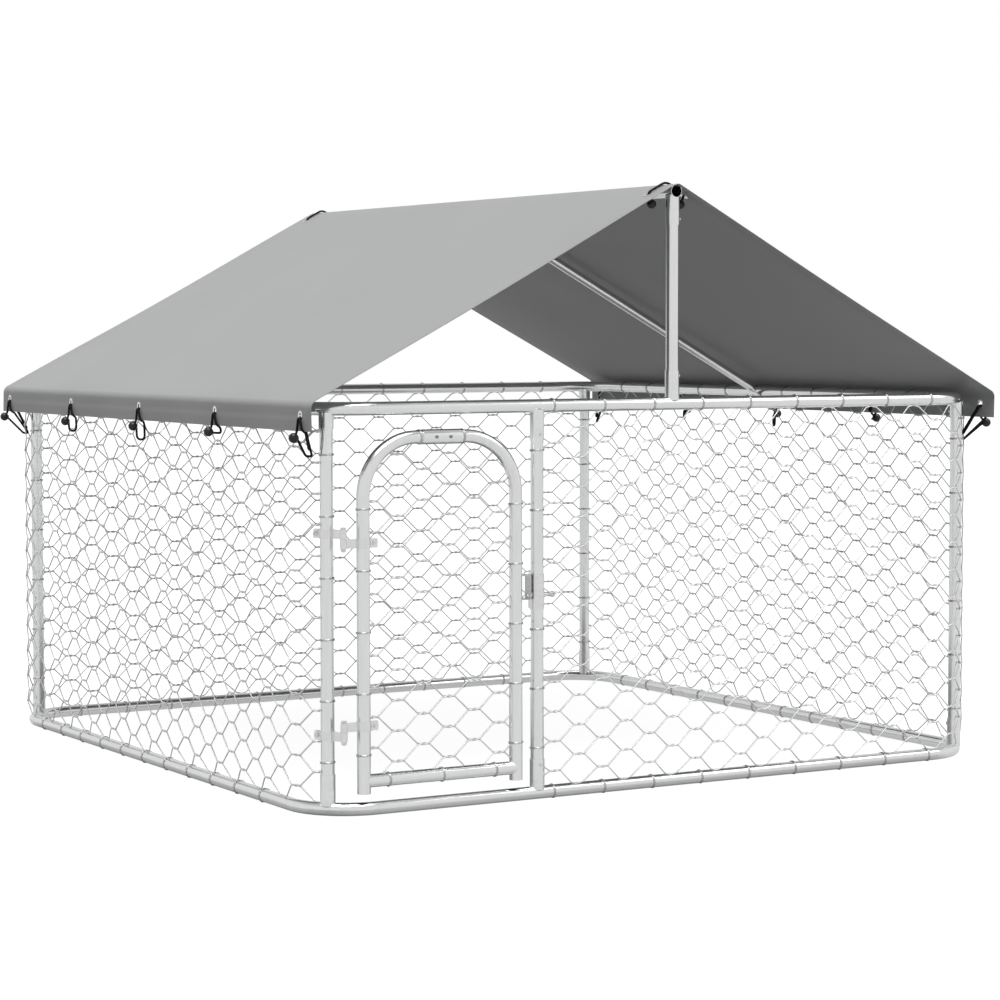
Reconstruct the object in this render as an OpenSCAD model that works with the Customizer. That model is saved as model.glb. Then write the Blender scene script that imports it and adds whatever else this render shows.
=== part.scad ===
// Outdoor kennel run: a square pen of galvanised tube and hexagonal wire netting
// with an arched door, a slide latch and a ridged tarpaulin roof held by ball cords.
// Millimetres, +Z up, origin on the ground at the middle of the base, front at -Y.

/* [Run] */
// Outside width of the tube rings
run_w = 2000; // [1400:10:3000]
// Outside depth of the tube rings
run_d = 2000; // [1400:10:3000]
// Height of the top ring's axis above the base ring's axis
wall_h = 943; // [700:1:1300]
// Height of the ridge pole's axis above the top ring's axis
ridge_rise = 526; // [350:1:800]
// Radius of the corner bends, at the tube's axis
bend_r = 150; // [110:1:200]

/* [Tubes] */
// Diameter of the frame tubes
tube_d = 32; // [26:0.5:40]
// Wall of all tubes
tube_wall = 1.2; // [0.8:0.1:2]
// Wall of the sockets that take the posts
socket_wall = 1.85; // [1.2:0.05:3]
// Reach of a socket from the axis of its rail
socket_l = 83; // [60:1:120]
// Reach of the shorter sockets under the top corners
top_socket_l = 48; // [40:1:80]
// Length of the reduced end of a bend inside its rail
spigot_l = 50; // [30:1:80]
// Diameter of the rafters
rafter_d = 25; // [20:0.5:28]
// Gap all round between a tube and what slips over it
slip_gap = 0.15; // [0.1:0.05:0.3]
// Gap that the end of a tube keeps from what it stands on
seat_gap = 0.2; // [0.1:0.1:0.5]

/* [Screws] */
// Diameter of the self-drilling screws
screw_d = 4.2; // [3:0.1:6]
// Diameter of the screw heads
screw_head_d = 9; // [7:0.5:12]
// Height of the screw heads
screw_head_h = 2.6; // [1.5:0.1:4]
// Gap between a screw and the edge of its hole
screw_gap = 0.15; // [0.1:0.05:0.3]
// Distance of a socket's screw from the socket's open end
screw_inset = 14; // [8:1:25]

/* [Netting] */
// Thickness of the netting
net_t = 2; // [1:0.1:4]
// Width of the netting's strands
net_strand = 4; // [2:0.5:8]
// Widest gap between the columns of twists
net_column = 168; // [60:1:200]
// Widest gap between the rows of twists in a column
net_row = 160; // [60:1:200]
// Spacing of the tie wires
tie_pitch = 145; // [90:1:250]
// Width of a tie wire
tie_w = 2.4; // [1.5:0.1:4]
// Gap between the netting and what it lies against
net_gap = 0.3; // [0.1:0.05:0.5]

/* [Door] */
// Distance of the left stile's axis from the frame's left tube axis
door_inset = 117; // [100:1:160]
// Distance between the axes of the door's stiles
door_w = 415; // [330:1:460]
// Distance between the axes of the right stile and the jamb post
jamb_gap = 60; // [54:1:75]
// Radius of the arch bends, at the tube's axis
arch_r = 140; // [100:1:150]
// Distance of the arch's axis below the top ring's axis
arch_drop = 69; // [50:1:120]
// Height of the stile ends above the base ring's axis
stile_lift = 36; // [30:1:60]
// Distance of the door's bottom rail above the stile ends
door_rail_rise = 30; // [20:1:60]
// Length of the sleeve that joins the halves of the arch
splice_l = 106; // [70:1:120]
// Distance between the sleeve's rivets
rivet_pitch = 38; // [20:1:60]
// Diameter of the rivets
rivet_d = 4; // [3:0.1:6]
// Thickness of a rivet's head
rivet_head_t = 1.6; // [1:0.1:3]

/* [Hinges] */
// Distance of the hinge pivot from the left stile's axis
pivot_gap = 52; // [44:1:60]
// Height of the upper hinge's parting line above the base ring's axis
hinge_upper_z = 639; // [520:1:720]
// Height of the lower hinge's parting line above the base ring's axis
hinge_lower_z = 185; // [120:1:320]
// Height of a hinge strap
strap_h = 22; // [16:0.5:30]
// Thickness of a hinge strap
strap_t = 1.85; // [1.2:0.05:2]
// Diameter of the hinge pins
pin_d = 8; // [6:0.5:10]
// Gap between a hinge pin and its eye
pin_gap = 0.05; // [0.02:0.01:0.1]
// Wall of a hinge eye
eye_wall = 4; // [3:0.1:6]
// Gap between the two eyes of a hinge
knuckle_gap = 0.6; // [0.4:0.1:1.5]
// Reach of a clamp's ears from its tube
ear_l = 19; // [14:0.5:26]
// Gap between the ears of a clamp
ear_gap = 3; // [2:0.5:6]
// Diameter of the clamp bolts
bolt_d = 6; // [5:0.5:8]

/* [Latch] */
// Height of the bolt's axis above the base ring's axis
latch_z = 484; // [400:1:560]
// Diameter of the sliding bolt
latch_rod_d = 10; // [7:0.5:12]
// Gap between the bolt and its holes
latch_gap = 0.1; // [0.05:0.01:0.1]
// Travel of the bolt
latch_travel = 14; // [10:0.5:15]
// Reach of the collar above the bolt's axis
collar_up = 51; // [30:1:70]
// Reach of the collar below the bolt's axis
collar_down = 35; // [30:1:60]
// Reach of the strike from the stile towards the jamb
strike_reach = 20; // [18:0.5:22]
// Thickness of the strike's plate
strike_t = 3; // [2:0.1:4]
// Width of the strike
strike_w = 26; // [18:0.5:30]
// Gap between the bolt and the strike's hole
strike_clear = 0.45; // [0.3:0.05:1.5]
// Diameter of the knob
knob_d = 15; // [12:0.5:20]
// Diameter of the padlock hole in the strike
padlock_d = 8; // [6:0.5:10]

/* [Roof] */
// Thickness of the tarpaulin
tarp_t = 1.5; // [0.8:0.1:3]
// Reach of the tarpaulin past the frame's front and back tube axes
tarp_over = 25; // [20:1:80]
// Distance of the side flaps' lower edge below the top ring's axis
flap_drop = 51; // [40:1:100]
// Radius inside the bend at the eaves
eave_r = 20; // [5:0.5:25]
// Room between the netting and the side flaps for the cords
cord_room = 7.5; // [6:0.1:15]
// Gap between the tarpaulin and the ridge pole it lies on
tarp_gap = 0.3; // [0.1:0.1:1]
// Height of the tarpaulin above the wire ties where it passes over a top rail
tarp_lift = 7.5; // [0.3:0.1:12]
// Eyelets along each side flap
eyelets = 5; // [3:1:9]
// Distance of the end eyelets from the tarpaulin's ends
eyelet_margin = 55; // [35:1:120]
// Distance of the eyelets above the flap's lower edge
eyelet_rise = 37; // [25:1:60]
// Distance of the ridge eyelets from the ridge, along the slope
ridge_eyelet_s = 52; // [40:1:90]
// Hole in an eyelet
eyelet_hole_d = 11; // [9:0.5:16]
// Outside diameter of an eyelet
eyelet_d = 22; // [18:0.5:30]
// Thickness of an eyelet's rim
eyelet_rim = 1; // [0.6:0.1:2]

/* [Ball cords] */
// Diameter of the elastic cord
cord_d = 4.6; // [3:0.1:5]
// Diameter of a cord's ball
ball_d = 24; // [18:0.5:30]
// Distance of the balls below the flap's lower edge
ball_drop = 15; // [14:0.5:30]
// Distance of the cords' hook point below the flap's lower edge
hook_drop = 48; // [30:1:80]

/* [Hidden] */

steel = "#d4d6d8";
steel_bright = "#e6e8ea";
wire = "#c9cccf";
cloth = "#8d8f8f";
black = "#1b1b1c";

$fn = 48;

// Radii and axes of the frame
tube_r = tube_d / 2;
bore_r = tube_r - tube_wall;
socket_in = tube_r + slip_gap;
socket_r = socket_in + socket_wall;
half_w = run_w / 2 - tube_r;
half_d = run_d / 2 - tube_r;
base_z = tube_r;
top_z = base_z + wall_h;
ridge_z = top_z + ridge_rise;
post_in = bend_r * (1 - cos(45));
post_x = half_w - post_in;
post_y = half_d - post_in;

// Door and latch places
front_y = -half_d;
stile_left_x = -half_w + door_inset;
stile_right_x = stile_left_x + door_w;
jamb_x = stile_right_x + jamb_gap;
door_mid_x = stile_left_x + door_w / 2;
arch_z = top_z - arch_drop;
stile_end_z = base_z + stile_lift;
door_rail_z = stile_end_z + door_rail_rise;
pivot_x = stile_left_x - pivot_gap;
pivot_y = front_y;
upper_z = base_z + hinge_upper_z;
lower_z = base_z + hinge_lower_z;
bolt_z = base_z + latch_z;

// Netting sits just outside the widest thing on the tubes
net_in = socket_r + net_gap;
net_out = net_in + net_t;
tie_r = net_in - net_gap / 2;

// Roof profile
ridge_wrap = tube_r + tarp_gap;
eave_wrap = tie_r + tarp_lift;
span = sqrt(half_w * half_w + ridge_rise * ridge_rise);
slope = atan2(ridge_rise, half_w) + asin((ridge_wrap - eave_wrap) / span);
flap_x = half_w + net_out + cord_room;
flap_z = top_z - flap_drop;
tarp_half_d = half_d + tarp_over;
slope_reach = ridge_z * cos(slope) + ridge_wrap;
eave_x = flap_x - eave_r;
eave_z = (slope_reach - eave_r - eave_x * sin(slope)) / cos(slope);
eyelet_z = flap_z + eyelet_rise;
eyelet_y = tarp_half_d - eyelet_margin;
eyelet_fit = 0.1;
eyelet_neck = eyelet_hole_d / 2 + eyelet_rim;

// Cord route, from the side flap's own places
loop_seat = cord_d * 0.28;
strand_out = flap_x + tarp_t + eyelet_fit + eyelet_rim + net_gap + cord_d / 2;
strand_in = half_w + net_out + net_gap + cord_d / 2;
loop_r = (strand_out - strand_in) / 2;
loop_top = eyelet_z - eyelet_hole_d / 2 + cord_d / 2 + loop_seat;
ball_z = flap_z - ball_drop;
ball_x = strand_out + cord_d / 2 + net_gap + ball_d / 2;
hook_z = flap_z - hook_drop;
end_reach = max(0, eyelet_y - (half_d - bend_r));
end_hook_x = half_w - bend_r + sqrt(pow(bend_r + net_out, 2) - pow(end_reach, 2)) + net_gap + cord_d / 2;

// A hollow tube up the Z axis
module tube(outer_r, inner_r, length) {
    difference() {
        cylinder(r = outer_r, h = length);
        translate([0, 0, -1])
            cylinder(r = inner_r, h = length + 2);
    }
}

module along_x() {
    rotate([0, 90, 0])
        children();
}

module along_y() {
    rotate([-90, 0, 0])
        children();
}

// A screw up the Z axis, its head seated at z = 0 and its shank below
module screw(shank) {
    cylinder(d = screw_head_d, h = screw_head_h);
    translate([0, 0, -shank])
        cylinder(d = screw_d, h = shank + 0.5);
}

// A hole for that screw
module screw_hole(depth) {
    translate([0, 0, -depth])
        cylinder(d = screw_d + 2 * screw_gap, h = depth + 10);
}

// Puts a radial screw or hole on a socket of radius r, at height z, facing angle turn
module on_socket(turn, r, z) {
    translate([0, 0, z])
        rotate([0, 0, turn])
            translate([r, 0, 0])
                rotate([0, 90, 0])
                    children();
}

screw_reach = socket_wall + slip_gap + tube_wall + 2;
screw_seat = socket_r + seat_gap / 2;
corner_screw_turn = 225;

// A welded socket, open upwards, around a post standing on a rail at z = 0
module socket_shell(reach) {
    translate([0, 0, tube_r / 2])
        tube(socket_r, socket_in, reach - tube_r / 2);
}

// Hollow inside of a socket, kept free for the post above the rail
module ring_corner(reach) {
    spigot_r = bore_r - slip_gap;
    difference() {
        union() {
            translate([half_w - bend_r, half_d - bend_r, 0])
                rotate_extrude(angle = 90)
                    translate([bend_r, 0])
                        circle(r = tube_r);
            translate([post_x, post_y, 0])
                socket_shell(reach);
            translate([half_w, half_d - bend_r - spigot_l, 0])
                along_y()
                    cylinder(r = spigot_r, h = spigot_l + 1);
            translate([half_w - bend_r - spigot_l, half_d, 0])
                along_x()
                    cylinder(r = spigot_r, h = spigot_l + 1);
        }
        translate([half_w - bend_r, half_d - bend_r, 0])
            rotate_extrude(angle = 90)
                translate([bend_r, 0])
                    circle(r = spigot_r - tube_wall);
        translate([half_w, half_d - bend_r - spigot_l - 1, 0])
            along_y()
                cylinder(r = spigot_r - tube_wall, h = spigot_l + 1);
        translate([half_w - bend_r - spigot_l - 1, half_d, 0])
            along_x()
                cylinder(r = spigot_r - tube_wall, h = spigot_l + 1);
        translate([post_x, post_y, 0])
            on_socket(corner_screw_turn, socket_r, reach - screw_inset)
                screw_hole(socket_wall + 2);
    }
}

module base_corner(side_x, side_y) {
    color(steel)
        translate([0, 0, base_z])
            scale_sides(side_x, side_y)
                ring_corner(socket_l);
}

module top_corner(side_x, side_y) {
    color(steel)
        translate([0, 0, top_z])
            scale_sides(side_x, side_y)
                mirror([0, 0, 1])
                    ring_corner(top_socket_l);
}

// Mirrors the +X +Y quarter into another quarter
module scale_sides(side_x, side_y) {
    mirror([side_x < 0 ? 1 : 0, 0, 0])
        mirror([0, side_y < 0 ? 1 : 0, 0])
            children();
}

rail_gap = 0.2;
rail_x_half = half_w - bend_r - rail_gap;
rail_y_half = half_d - bend_r - rail_gap;

// A straight rail along X, with sockets at the places in ups and downs
module rail_x(ups, downs, turn) {
    difference() {
        union() {
            translate([-rail_x_half, 0, 0])
                along_x()
                    cylinder(r = tube_r, h = 2 * rail_x_half);
            for (x = ups)
                translate([x, 0, 0])
                    socket_shell(socket_l);
            for (x = downs)
                translate([x, 0, 0])
                    mirror([0, 0, 1])
                        socket_shell(socket_l);
        }
        translate([-rail_x_half - 1, 0, 0])
            along_x()
                cylinder(r = bore_r, h = 2 * rail_x_half + 2);
        for (x = ups)
            translate([x, 0, 0])
                on_socket(0, socket_r, socket_l - screw_inset)
                    screw_hole(socket_wall + 2);
        for (x = downs)
            translate([x, 0, 0])
                on_socket(turn, socket_r, -socket_l + screw_inset)
                    screw_hole(socket_wall + 2);
    }
}

module base_rail_front() {
    color(steel)
        translate([0, front_y, base_z])
            mirror([0, 0, 1])
                rail_x([], [jamb_x], -90);
}

module base_rail_back() {
    color(steel)
        translate([0, half_d, base_z])
            rail_x([], [], 0);
}

module top_rail_front() {
    color(steel)
        translate([0, front_y, top_z])
            rail_x([0], [jamb_x], -90);
}

module top_rail_back() {
    color(steel)
        translate([0, half_d, top_z])
            rail_x([0], [], 0);
}

// A plain side rail along Y, with a screw hole under its middle where a rafter lands
module rail_y(side_x, z, drilled) {
    color(steel)
        translate([side_x * half_w, 0, z])
            difference() {
                translate([0, -rail_y_half, 0])
                    along_y()
                        tube(tube_r, bore_r, 2 * rail_y_half);
                if (drilled)
                    rafter_screw_hole(side_x);
            }
}

// Corner posts stand in the base sockets and reach into the top sockets
post_low = base_z + tube_r + seat_gap;
post_high = top_z - tube_r - seat_gap;

module post_screw_hole(turn, z) {
    on_socket(turn, tube_r, z)
        screw_hole(tube_wall + 2);
}

module corner_post(side_x, side_y) {
    color(steel_bright)
        scale_sides(side_x, side_y)
            translate([post_x, post_y, 0])
                difference() {
                    translate([0, 0, post_low])
                        tube(tube_r, bore_r, post_high - post_low);
                    post_screw_hole(corner_screw_turn, base_z + socket_l - screw_inset);
                    post_screw_hole(corner_screw_turn, top_z - top_socket_l + screw_inset);
                }
}

// The jamb post carries the latch: its sliding bolt passes right through it
module jamb_post() {
    color(steel_bright)
        translate([jamb_x, front_y, 0])
            difference() {
                translate([0, 0, post_low])
                    tube(tube_r, bore_r, post_high - post_low);
                post_screw_hole(-90, base_z + socket_l - screw_inset);
                post_screw_hole(-90, top_z - socket_l + screw_inset);
                translate([-tube_d, 0, bolt_z])
                    along_x()
                        cylinder(d = latch_rod_d + 2 * latch_gap, h = 2 * tube_d);
            }
}

module ridge_post(side_y) {
    low = top_z + tube_r + seat_gap;
    high = ridge_z - tube_r - seat_gap;
    color(steel_bright)
        translate([0, side_y * half_d, 0])
            difference() {
                translate([0, 0, low])
                    tube(tube_r, bore_r, high - low);
                post_screw_hole(0, top_z + socket_l - screw_inset);
                post_screw_hole(0, ridge_z - socket_l + screw_inset);
            }
}

// The ridge pole ends in two sockets that drop over the ridge posts
ridge_pole_half = half_d + socket_r;

module ridge_pole() {
    color(steel_bright)
        translate([0, 0, ridge_z])
            difference() {
                union() {
                    translate([0, -ridge_pole_half, 0])
                        along_y()
                            cylinder(r = tube_r, h = 2 * ridge_pole_half);
                    for (side_y = [-1, 1])
                        translate([0, side_y * half_d, 0])
                            mirror([0, 0, 1])
                                socket_shell(socket_l);
                }
                translate([0, -ridge_pole_half - 1, 0])
                    along_y()
                        cylinder(r = bore_r, h = 2 * ridge_pole_half + 2);
                for (side_y = [-1, 1])
                    translate([0, side_y * half_d, 0])
                        on_socket(0, socket_r, -socket_l + screw_inset)
                            screw_hole(socket_wall + 2);
                for (side_x = [-1, 1])
                    rafter_screw_hole(side_x);
            }
}

// A rafter lies under the ridge pole and under a side rail; both ends are pressed flat and screwed
rafter_tilt = atan2(ridge_rise, half_w);
tongue_t = 2 * tube_wall;
tongue_top = -tube_r - slip_gap;
tongue_end = 14;
tongue_l = 62;
tongue_w = rafter_d;
rafter_shift = tongue_w / 2 + 1;

// Frame of a rafter: X runs down the slope from the ridge pole's axis; the two lie side by side
module on_rafter(side_x) {
    translate([0, side_x * rafter_shift, ridge_z])
        scale_sides(side_x, 1)
            rotate([0, rafter_tilt, 0])
                children();
}

// The hole under a tube's axis for the screw of a rafter's flat end
module rafter_screw_hole(side_x) {
    translate([0, side_x * rafter_shift, 0])
        scale_sides(side_x, 1)
            rotate([0, rafter_tilt, 0])
                translate([0, 0, -tube_r - 2])
                    cylinder(d = screw_d + 2 * screw_gap, h = 2 * tube_wall + 4);
}

module rafter(side_x) {
    axis_z = tongue_top - tongue_t + rafter_d / 2;
    tube_start = tongue_l - tongue_end;
    color(steel_bright)
        on_rafter(side_x)
            difference() {
                union() {
                    translate([tube_start, 0, axis_z])
                        along_x()
                            tube(rafter_d / 2, rafter_d / 2 - tube_wall, span - 2 * tube_start);
                    for (end = [0, 1])
                        translate([end * span, 0, 0])
                            mirror([end, 0, 0])
                                rafter_tongue(axis_z, tube_start);
                }
                for (x = [0, span])
                    translate([x, 0, tongue_top - tongue_t - 1])
                        cylinder(d = screw_d + 2 * screw_gap, h = tongue_t + 2);
            }
}

// The flat end of a rafter and the taper up to its round stretch
module rafter_tongue(axis_z, tube_start) {
    taper_l = tube_start - tube_r - 4;
    translate([-tongue_end, -tongue_w / 2, tongue_top - tongue_t])
        cube([tongue_end + tube_r + 5, tongue_w, tongue_t]);
    hull() {
        translate([tube_r + 4, -tongue_w / 2, tongue_top - tongue_t])
            cube([1, tongue_w, tongue_t]);
        translate([tube_r + 4 + taper_l, 0, axis_z])
            along_x()
                cylinder(d = rafter_d, h = 1, $fn = 32);
    }
}

module frame_screws() {
    color(steel_bright) {
        for (side_x = [-1, 1], side_y = [-1, 1])
            scale_sides(side_x, side_y)
                translate([post_x, post_y, 0]) {
                    on_socket(corner_screw_turn, screw_seat, base_z + socket_l - screw_inset)
                        screw(screw_reach);
                    on_socket(corner_screw_turn, screw_seat, top_z - top_socket_l + screw_inset)
                        screw(screw_reach);
                }
        for (z = [base_z + socket_l - screw_inset, top_z - socket_l + screw_inset])
            translate([jamb_x, front_y, 0])
                on_socket(-90, screw_seat, z)
                    screw(screw_reach);
        for (side_y = [-1, 1], z = [top_z + socket_l - screw_inset, ridge_z - socket_l + screw_inset])
            translate([0, side_y * half_d, 0])
                on_socket(0, screw_seat, z)
                    screw(screw_reach);
        for (side_x = [-1, 1], x = [0, span])
            on_rafter(side_x)
                translate([x, 0, tongue_top - tongue_t - seat_gap / 2])
                    mirror([0, 0, 1])
                        screw(tongue_t + tube_wall + 2);
    }
}

// One hexagonal gap with its twists level: column and row are the spacings of the twists
module hexagon_gap(column, row) {
    inset = net_strand / 2;
    tip = column * 2 / 3 - inset;
    shoulder = column / 3 - inset * 0.4;
    rise = row / 2 - inset;
    polygon([[-tip, 0], [-shoulder, -rise], [shoulder, -rise], [tip, 0], [shoulder, rise], [-shoulder, rise]]);
}

// Flat netting of the given size, its gaps in staggered columns, in the XY plane
module netting(width, height) {
    difference() {
        square([width, height]);
        intersection() {
            translate([net_strand, net_strand])
                square([width - 2 * net_strand, height - 2 * net_strand]);
            net_gaps(width, height);
        }
    }
}

net_low = base_z + tube_r / 4;
net_high = top_z - tube_r / 4;
net_h = net_high - net_low;
net_x_half = half_w - bend_r - net_gap / 2;
net_y_half = half_d - bend_r - net_gap / 2;

// A wall of netting along X, standing on its lower edge, with its back at y = 0
module net_wall(width) {
    rotate([90, 0, 0])
        linear_extrude(net_t)
            netting(width, net_h);
}

module net_front() {
    start = jamb_x + tube_r;
    color(wire)
        translate([start, front_y - net_in, net_low])
            net_wall(net_x_half - start);
}

module net_back() {
    color(wire)
        translate([-net_x_half, half_d + net_out, net_low])
            net_wall(2 * net_x_half);
}

module net_side(side_x) {
    color(wire)
        scale_sides(side_x, 1)
            translate([half_w + net_in, -net_y_half, net_low])
                rotate([0, 0, 90])
                    net_wall(2 * net_y_half);
}

// Netting round a corner bend: staggered gaps cut through part of a thin cylinder
bend_columns = 2;
// Angle of the bend at which the netting ends before the hinge post
hinge_post_sweep = 36;

module net_bend(side_x, side_y, sweep) {
    radius = bend_r + net_in;
    step = 90 / bend_columns;
    rows = ceil((net_h - net_strand) / net_row);
    row = (net_h - 2 * net_strand) / rows;
    column = radius * step * PI / 180;
    color(wire)
        scale_sides(side_x, side_y)
            translate([half_w - bend_r, half_d - bend_r, net_low])
                difference() {
                    rotate_extrude(angle = sweep, $fn = 160)
                        translate([radius, 0])
                            square([net_t, net_h]);
                    for (i = [0 : bend_columns], j = [0 : rows - 1])
                        rotate([0, 0, i * step])
                            translate([radius / 2, 0, net_strand + (j + 0.5 + (i % 2) / 2) * row])
                                rotate([90, 0, 90])
                                    linear_extrude(radius)
                                        intersection() {
                                            hexagon_gap(column, row);
                                            translate([-column, -net_h])
                                                square([2 * column, net_h + (rows - j - 0.5 - (i % 2) / 2) * row]);
                                        }
                }
}

// Tie wires: a ring round a tube that runs up the Z axis
module tie() {
    tube(tie_r, tube_r + slip_gap, tie_w);
}

function tie_places(length) =
    let (count = floor(length / tie_pitch))
    [for (i = [0 : count]) (i - count / 2) * tie_pitch];

module ties_along_x(x0, x1) {
    for (x = tie_places(x1 - x0 - 2 * tie_w))
        translate([(x0 + x1) / 2 + x, 0, 0])
            along_x()
                tie();
}

module ties_along_y(length) {
    for (y = tie_places(length - 2 * tie_w))
        translate([0, y, 0])
            along_y()
                tie();
}

// Ties on the base ring are pinched flat where the run stands on the ground
module wall_ties() {
    color(wire)
        difference() {
            union() {
                for (z = [base_z, top_z]) {
                    translate([0, front_y, z])
                        ties_along_x(jamb_x + socket_r, rail_x_half - tie_w);
                    translate([0, half_d, z])
                        ties_along_x(-rail_x_half + tie_w, rail_x_half - tie_w);
                    for (side_x = [-1, 1])
                        translate([side_x * half_w, tie_pitch / 4, z])
                            ties_along_y(2 * rail_y_half - tie_pitch);
                }
                for (side_x = [-1, 1], side_y = [-1, 1])
                    translate([side_x * post_x, side_y * post_y, 0])
                        ties_up(base_z + socket_l, top_z - socket_l);
                translate([jamb_x, front_y, 0])
                    ties_up(base_z + socket_l, top_z - socket_l);
            }
            translate([-run_w, -run_d, -tube_d])
                cube([2 * run_w, 2 * run_d, tube_d + seat_gap]);
            for (z = [upper_z + knuckle, lower_z - knuckle - strap_h])
                translate([-post_x, -post_y, z - tie_w])
                    cylinder(r = tie_r + 1, h = strap_h + 2 * tie_w);
            translate([jamb_x, front_y, bolt_z - collar_down - tie_w])
                cylinder(r = tie_r + 1, h = collar_h + 2 * tie_w);
            for (side_y = [-1, 1])
                translate([0, side_y * half_d, top_z])
                    cylinder(r = socket_r + net_gap, h = socket_l);
        }
}

// Tarpaulin: the half profile at distance lift outside its inner face, from ridge to flap edge
arc_steps = 8;

function arc_points(cx, cz, r, from, to) =
    [for (i = [0 : arc_steps]) let (a = from + (to - from) * i / arc_steps) [cx + r * cos(a), cz + r * sin(a)]];

function half_profile(lift) = concat(
    arc_points(0, ridge_z, ridge_wrap + lift, 90, 90 - slope),
    arc_points(eave_x, eave_z, eave_r + lift, 90 - slope, 0),
    [[flap_x + lift, flap_z]]
);

function reversed(list) = [for (i = [len(list) - 1 : -1 : 0]) list[i]];

function flipped(list) = [for (p = list) [-p[0], p[1]]];

module tarp_profile() {
    outer = half_profile(tarp_t);
    inner = half_profile(0);
    polygon(concat(reversed(flipped(outer)), outer, reversed(inner), flipped(inner)));
}

// Puts an eyelet or its hole, which runs along Z through the cloth, at each place on the cloth
module at_side_eyelets(side_x) {
    for (i = [0 : eyelets - 1])
        scale_sides(side_x, 1)
            translate([flap_x + tarp_t / 2, eyelet_place(i), eyelet_z])
                rotate([0, 90, 0])
                    children();
}

module at_ridge_eyelets() {
    for (side_x = [-1, 1], side_y = [-1, 1])
        scale_sides(side_x, side_y)
            translate([0, eyelet_y, ridge_z])
                rotate([0, slope, 0])
                    translate([ridge_eyelet_s, 0, ridge_wrap + tarp_t / 2])
                        children();
}

module tarpaulin() {
    color(cloth)
        difference() {
            rotate([90, 0, 0])
                translate([0, 0, -tarp_half_d])
                    linear_extrude(2 * tarp_half_d)
                        tarp_profile();
            for (side_x = [-1, 1])
                at_side_eyelets(side_x)
                    eyelet_hole();
            at_ridge_eyelets()
                eyelet_hole();
        }
}

module eyelet_hole() {
    translate([0, 0, -tarp_t * 2])
        cylinder(r = eyelet_neck + eyelet_fit, h = tarp_t * 4);
}

// A brass-type eyelet of plated steel: two rims and a neck through the cloth
module eyelet() {
    rim_z = tarp_t / 2 + eyelet_fit;
    difference() {
        union() {
            for (side = [0, 1])
                mirror([0, 0, side])
                    translate([0, 0, rim_z])
                        cylinder(d = eyelet_d, h = eyelet_rim);
            translate([0, 0, -rim_z])
                cylinder(r = eyelet_neck, h = 2 * rim_z);
        }
        translate([0, 0, -tarp_t * 3])
            cylinder(d = eyelet_hole_d, h = tarp_t * 6);
    }
}

module eyelets_side(side_x) {
    color(steel_bright)
        at_side_eyelets(side_x)
            eyelet();
}

module eyelets_ridge() {
    color(steel_bright)
        at_ridge_eyelets()
            eyelet();
}

// Points of a round corner of radius r at b, on the way from a to c
corner_steps = 4;
straight = 89;

function corner_points(a, b, c, r) =
    let (
        back = (a - b) / norm(a - b),
        ahead = (c - b) / norm(c - b),
        half = acos(max(-1, min(1, back * ahead))) / 2,
        centre = b + (back + ahead) / norm(back + ahead) * r / sin(half),
        first = b + back * r / tan(half) - centre,
        last = b + ahead * r / tan(half) - centre,
        from = atan2(first[1], first[0]),
        swing = atan2(first[0] * last[1] - first[1] * last[0], first * last)
    )
    half > straight ? [b] :
    [for (i = [0 : corner_steps]) centre + r * [cos(from + swing * i / corner_steps),
                                                sin(from + swing * i / corner_steps)]];

// A route in the XZ plane with each inner point rounded
function rounded_route(points, r) = concat(
    [points[0]],
    [for (i = [1 : len(points) - 2]) each corner_points(points[i - 1], points[i], points[i + 1], r)],
    [points[len(points) - 1]]
);

// A round cord swept along a route in the XZ plane
cord_sides = 8;

module cord(route) {
    count = len(route);
    rings = [for (i = [0 : count - 1]) let (
        ahead = route[min(i + 1, count - 1)] - route[max(i - 1, 0)],
        side = [ahead[1], -ahead[0]] / norm(ahead)
    ) [for (k = [0 : cord_sides - 1]) let (a = 360 * k / cord_sides) [
        route[i][0] + cord_d / 2 * cos(a) * side[0],
        cord_d / 2 * sin(a),
        route[i][1] + cord_d / 2 * cos(a) * side[1]
    ]]];
    walls = [for (i = [0 : count - 2], k = [0 : cord_sides - 1]) let (
        next = (k + 1) % cord_sides,
        low = i * cord_sides,
        high = low + cord_sides
    ) each [[low + k, high + k, low + next], [low + next, high + k, high + next]]];
    ends = [for (k = [1 : cord_sides - 2]) each [
        [0, k, k + 1],
        [(count - 1) * cord_sides, (count - 1) * cord_sides + k + 1, (count - 1) * cord_sides + k]
    ]];
    polyhedron(points = [for (ring = rings) each ring], faces = concat(walls, ends));
}

// One elastic loop: from the ball up the flap, through the eyelet, down behind the flap to its
// hook point in the netting, and back to the ball, where both ends are knotted
cord_turn = cord_d * 1.08;
knot_x = ball_x - ball_d / 6;
twin = cord_d / 2 + slip_gap;

function loop_route(hook_x) = rounded_route([
    [knot_x, ball_z + twin],
    [strand_out, ball_z + twin],
    [strand_out, loop_top],
    [strand_in, loop_top],
    [strand_in, flap_z],
    [hook_x, hook_z],
    [strand_out, ball_z - twin],
    [knot_x, ball_z - twin]
], min(cord_turn, loop_r * 0.98));

function is_end(i) = i == 0 || i == eyelets - 1;

function eyelet_place(i) = -eyelet_y + i * 2 * eyelet_y / (eyelets - 1);

module cords_side(side_x) {
    color(black)
        for (i = [0 : eyelets - 1])
            scale_sides(side_x, 1)
                translate([0, eyelet_place(i), 0])
                    cord(loop_route(is_end(i) ? end_hook_x : strand_in));
}

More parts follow.
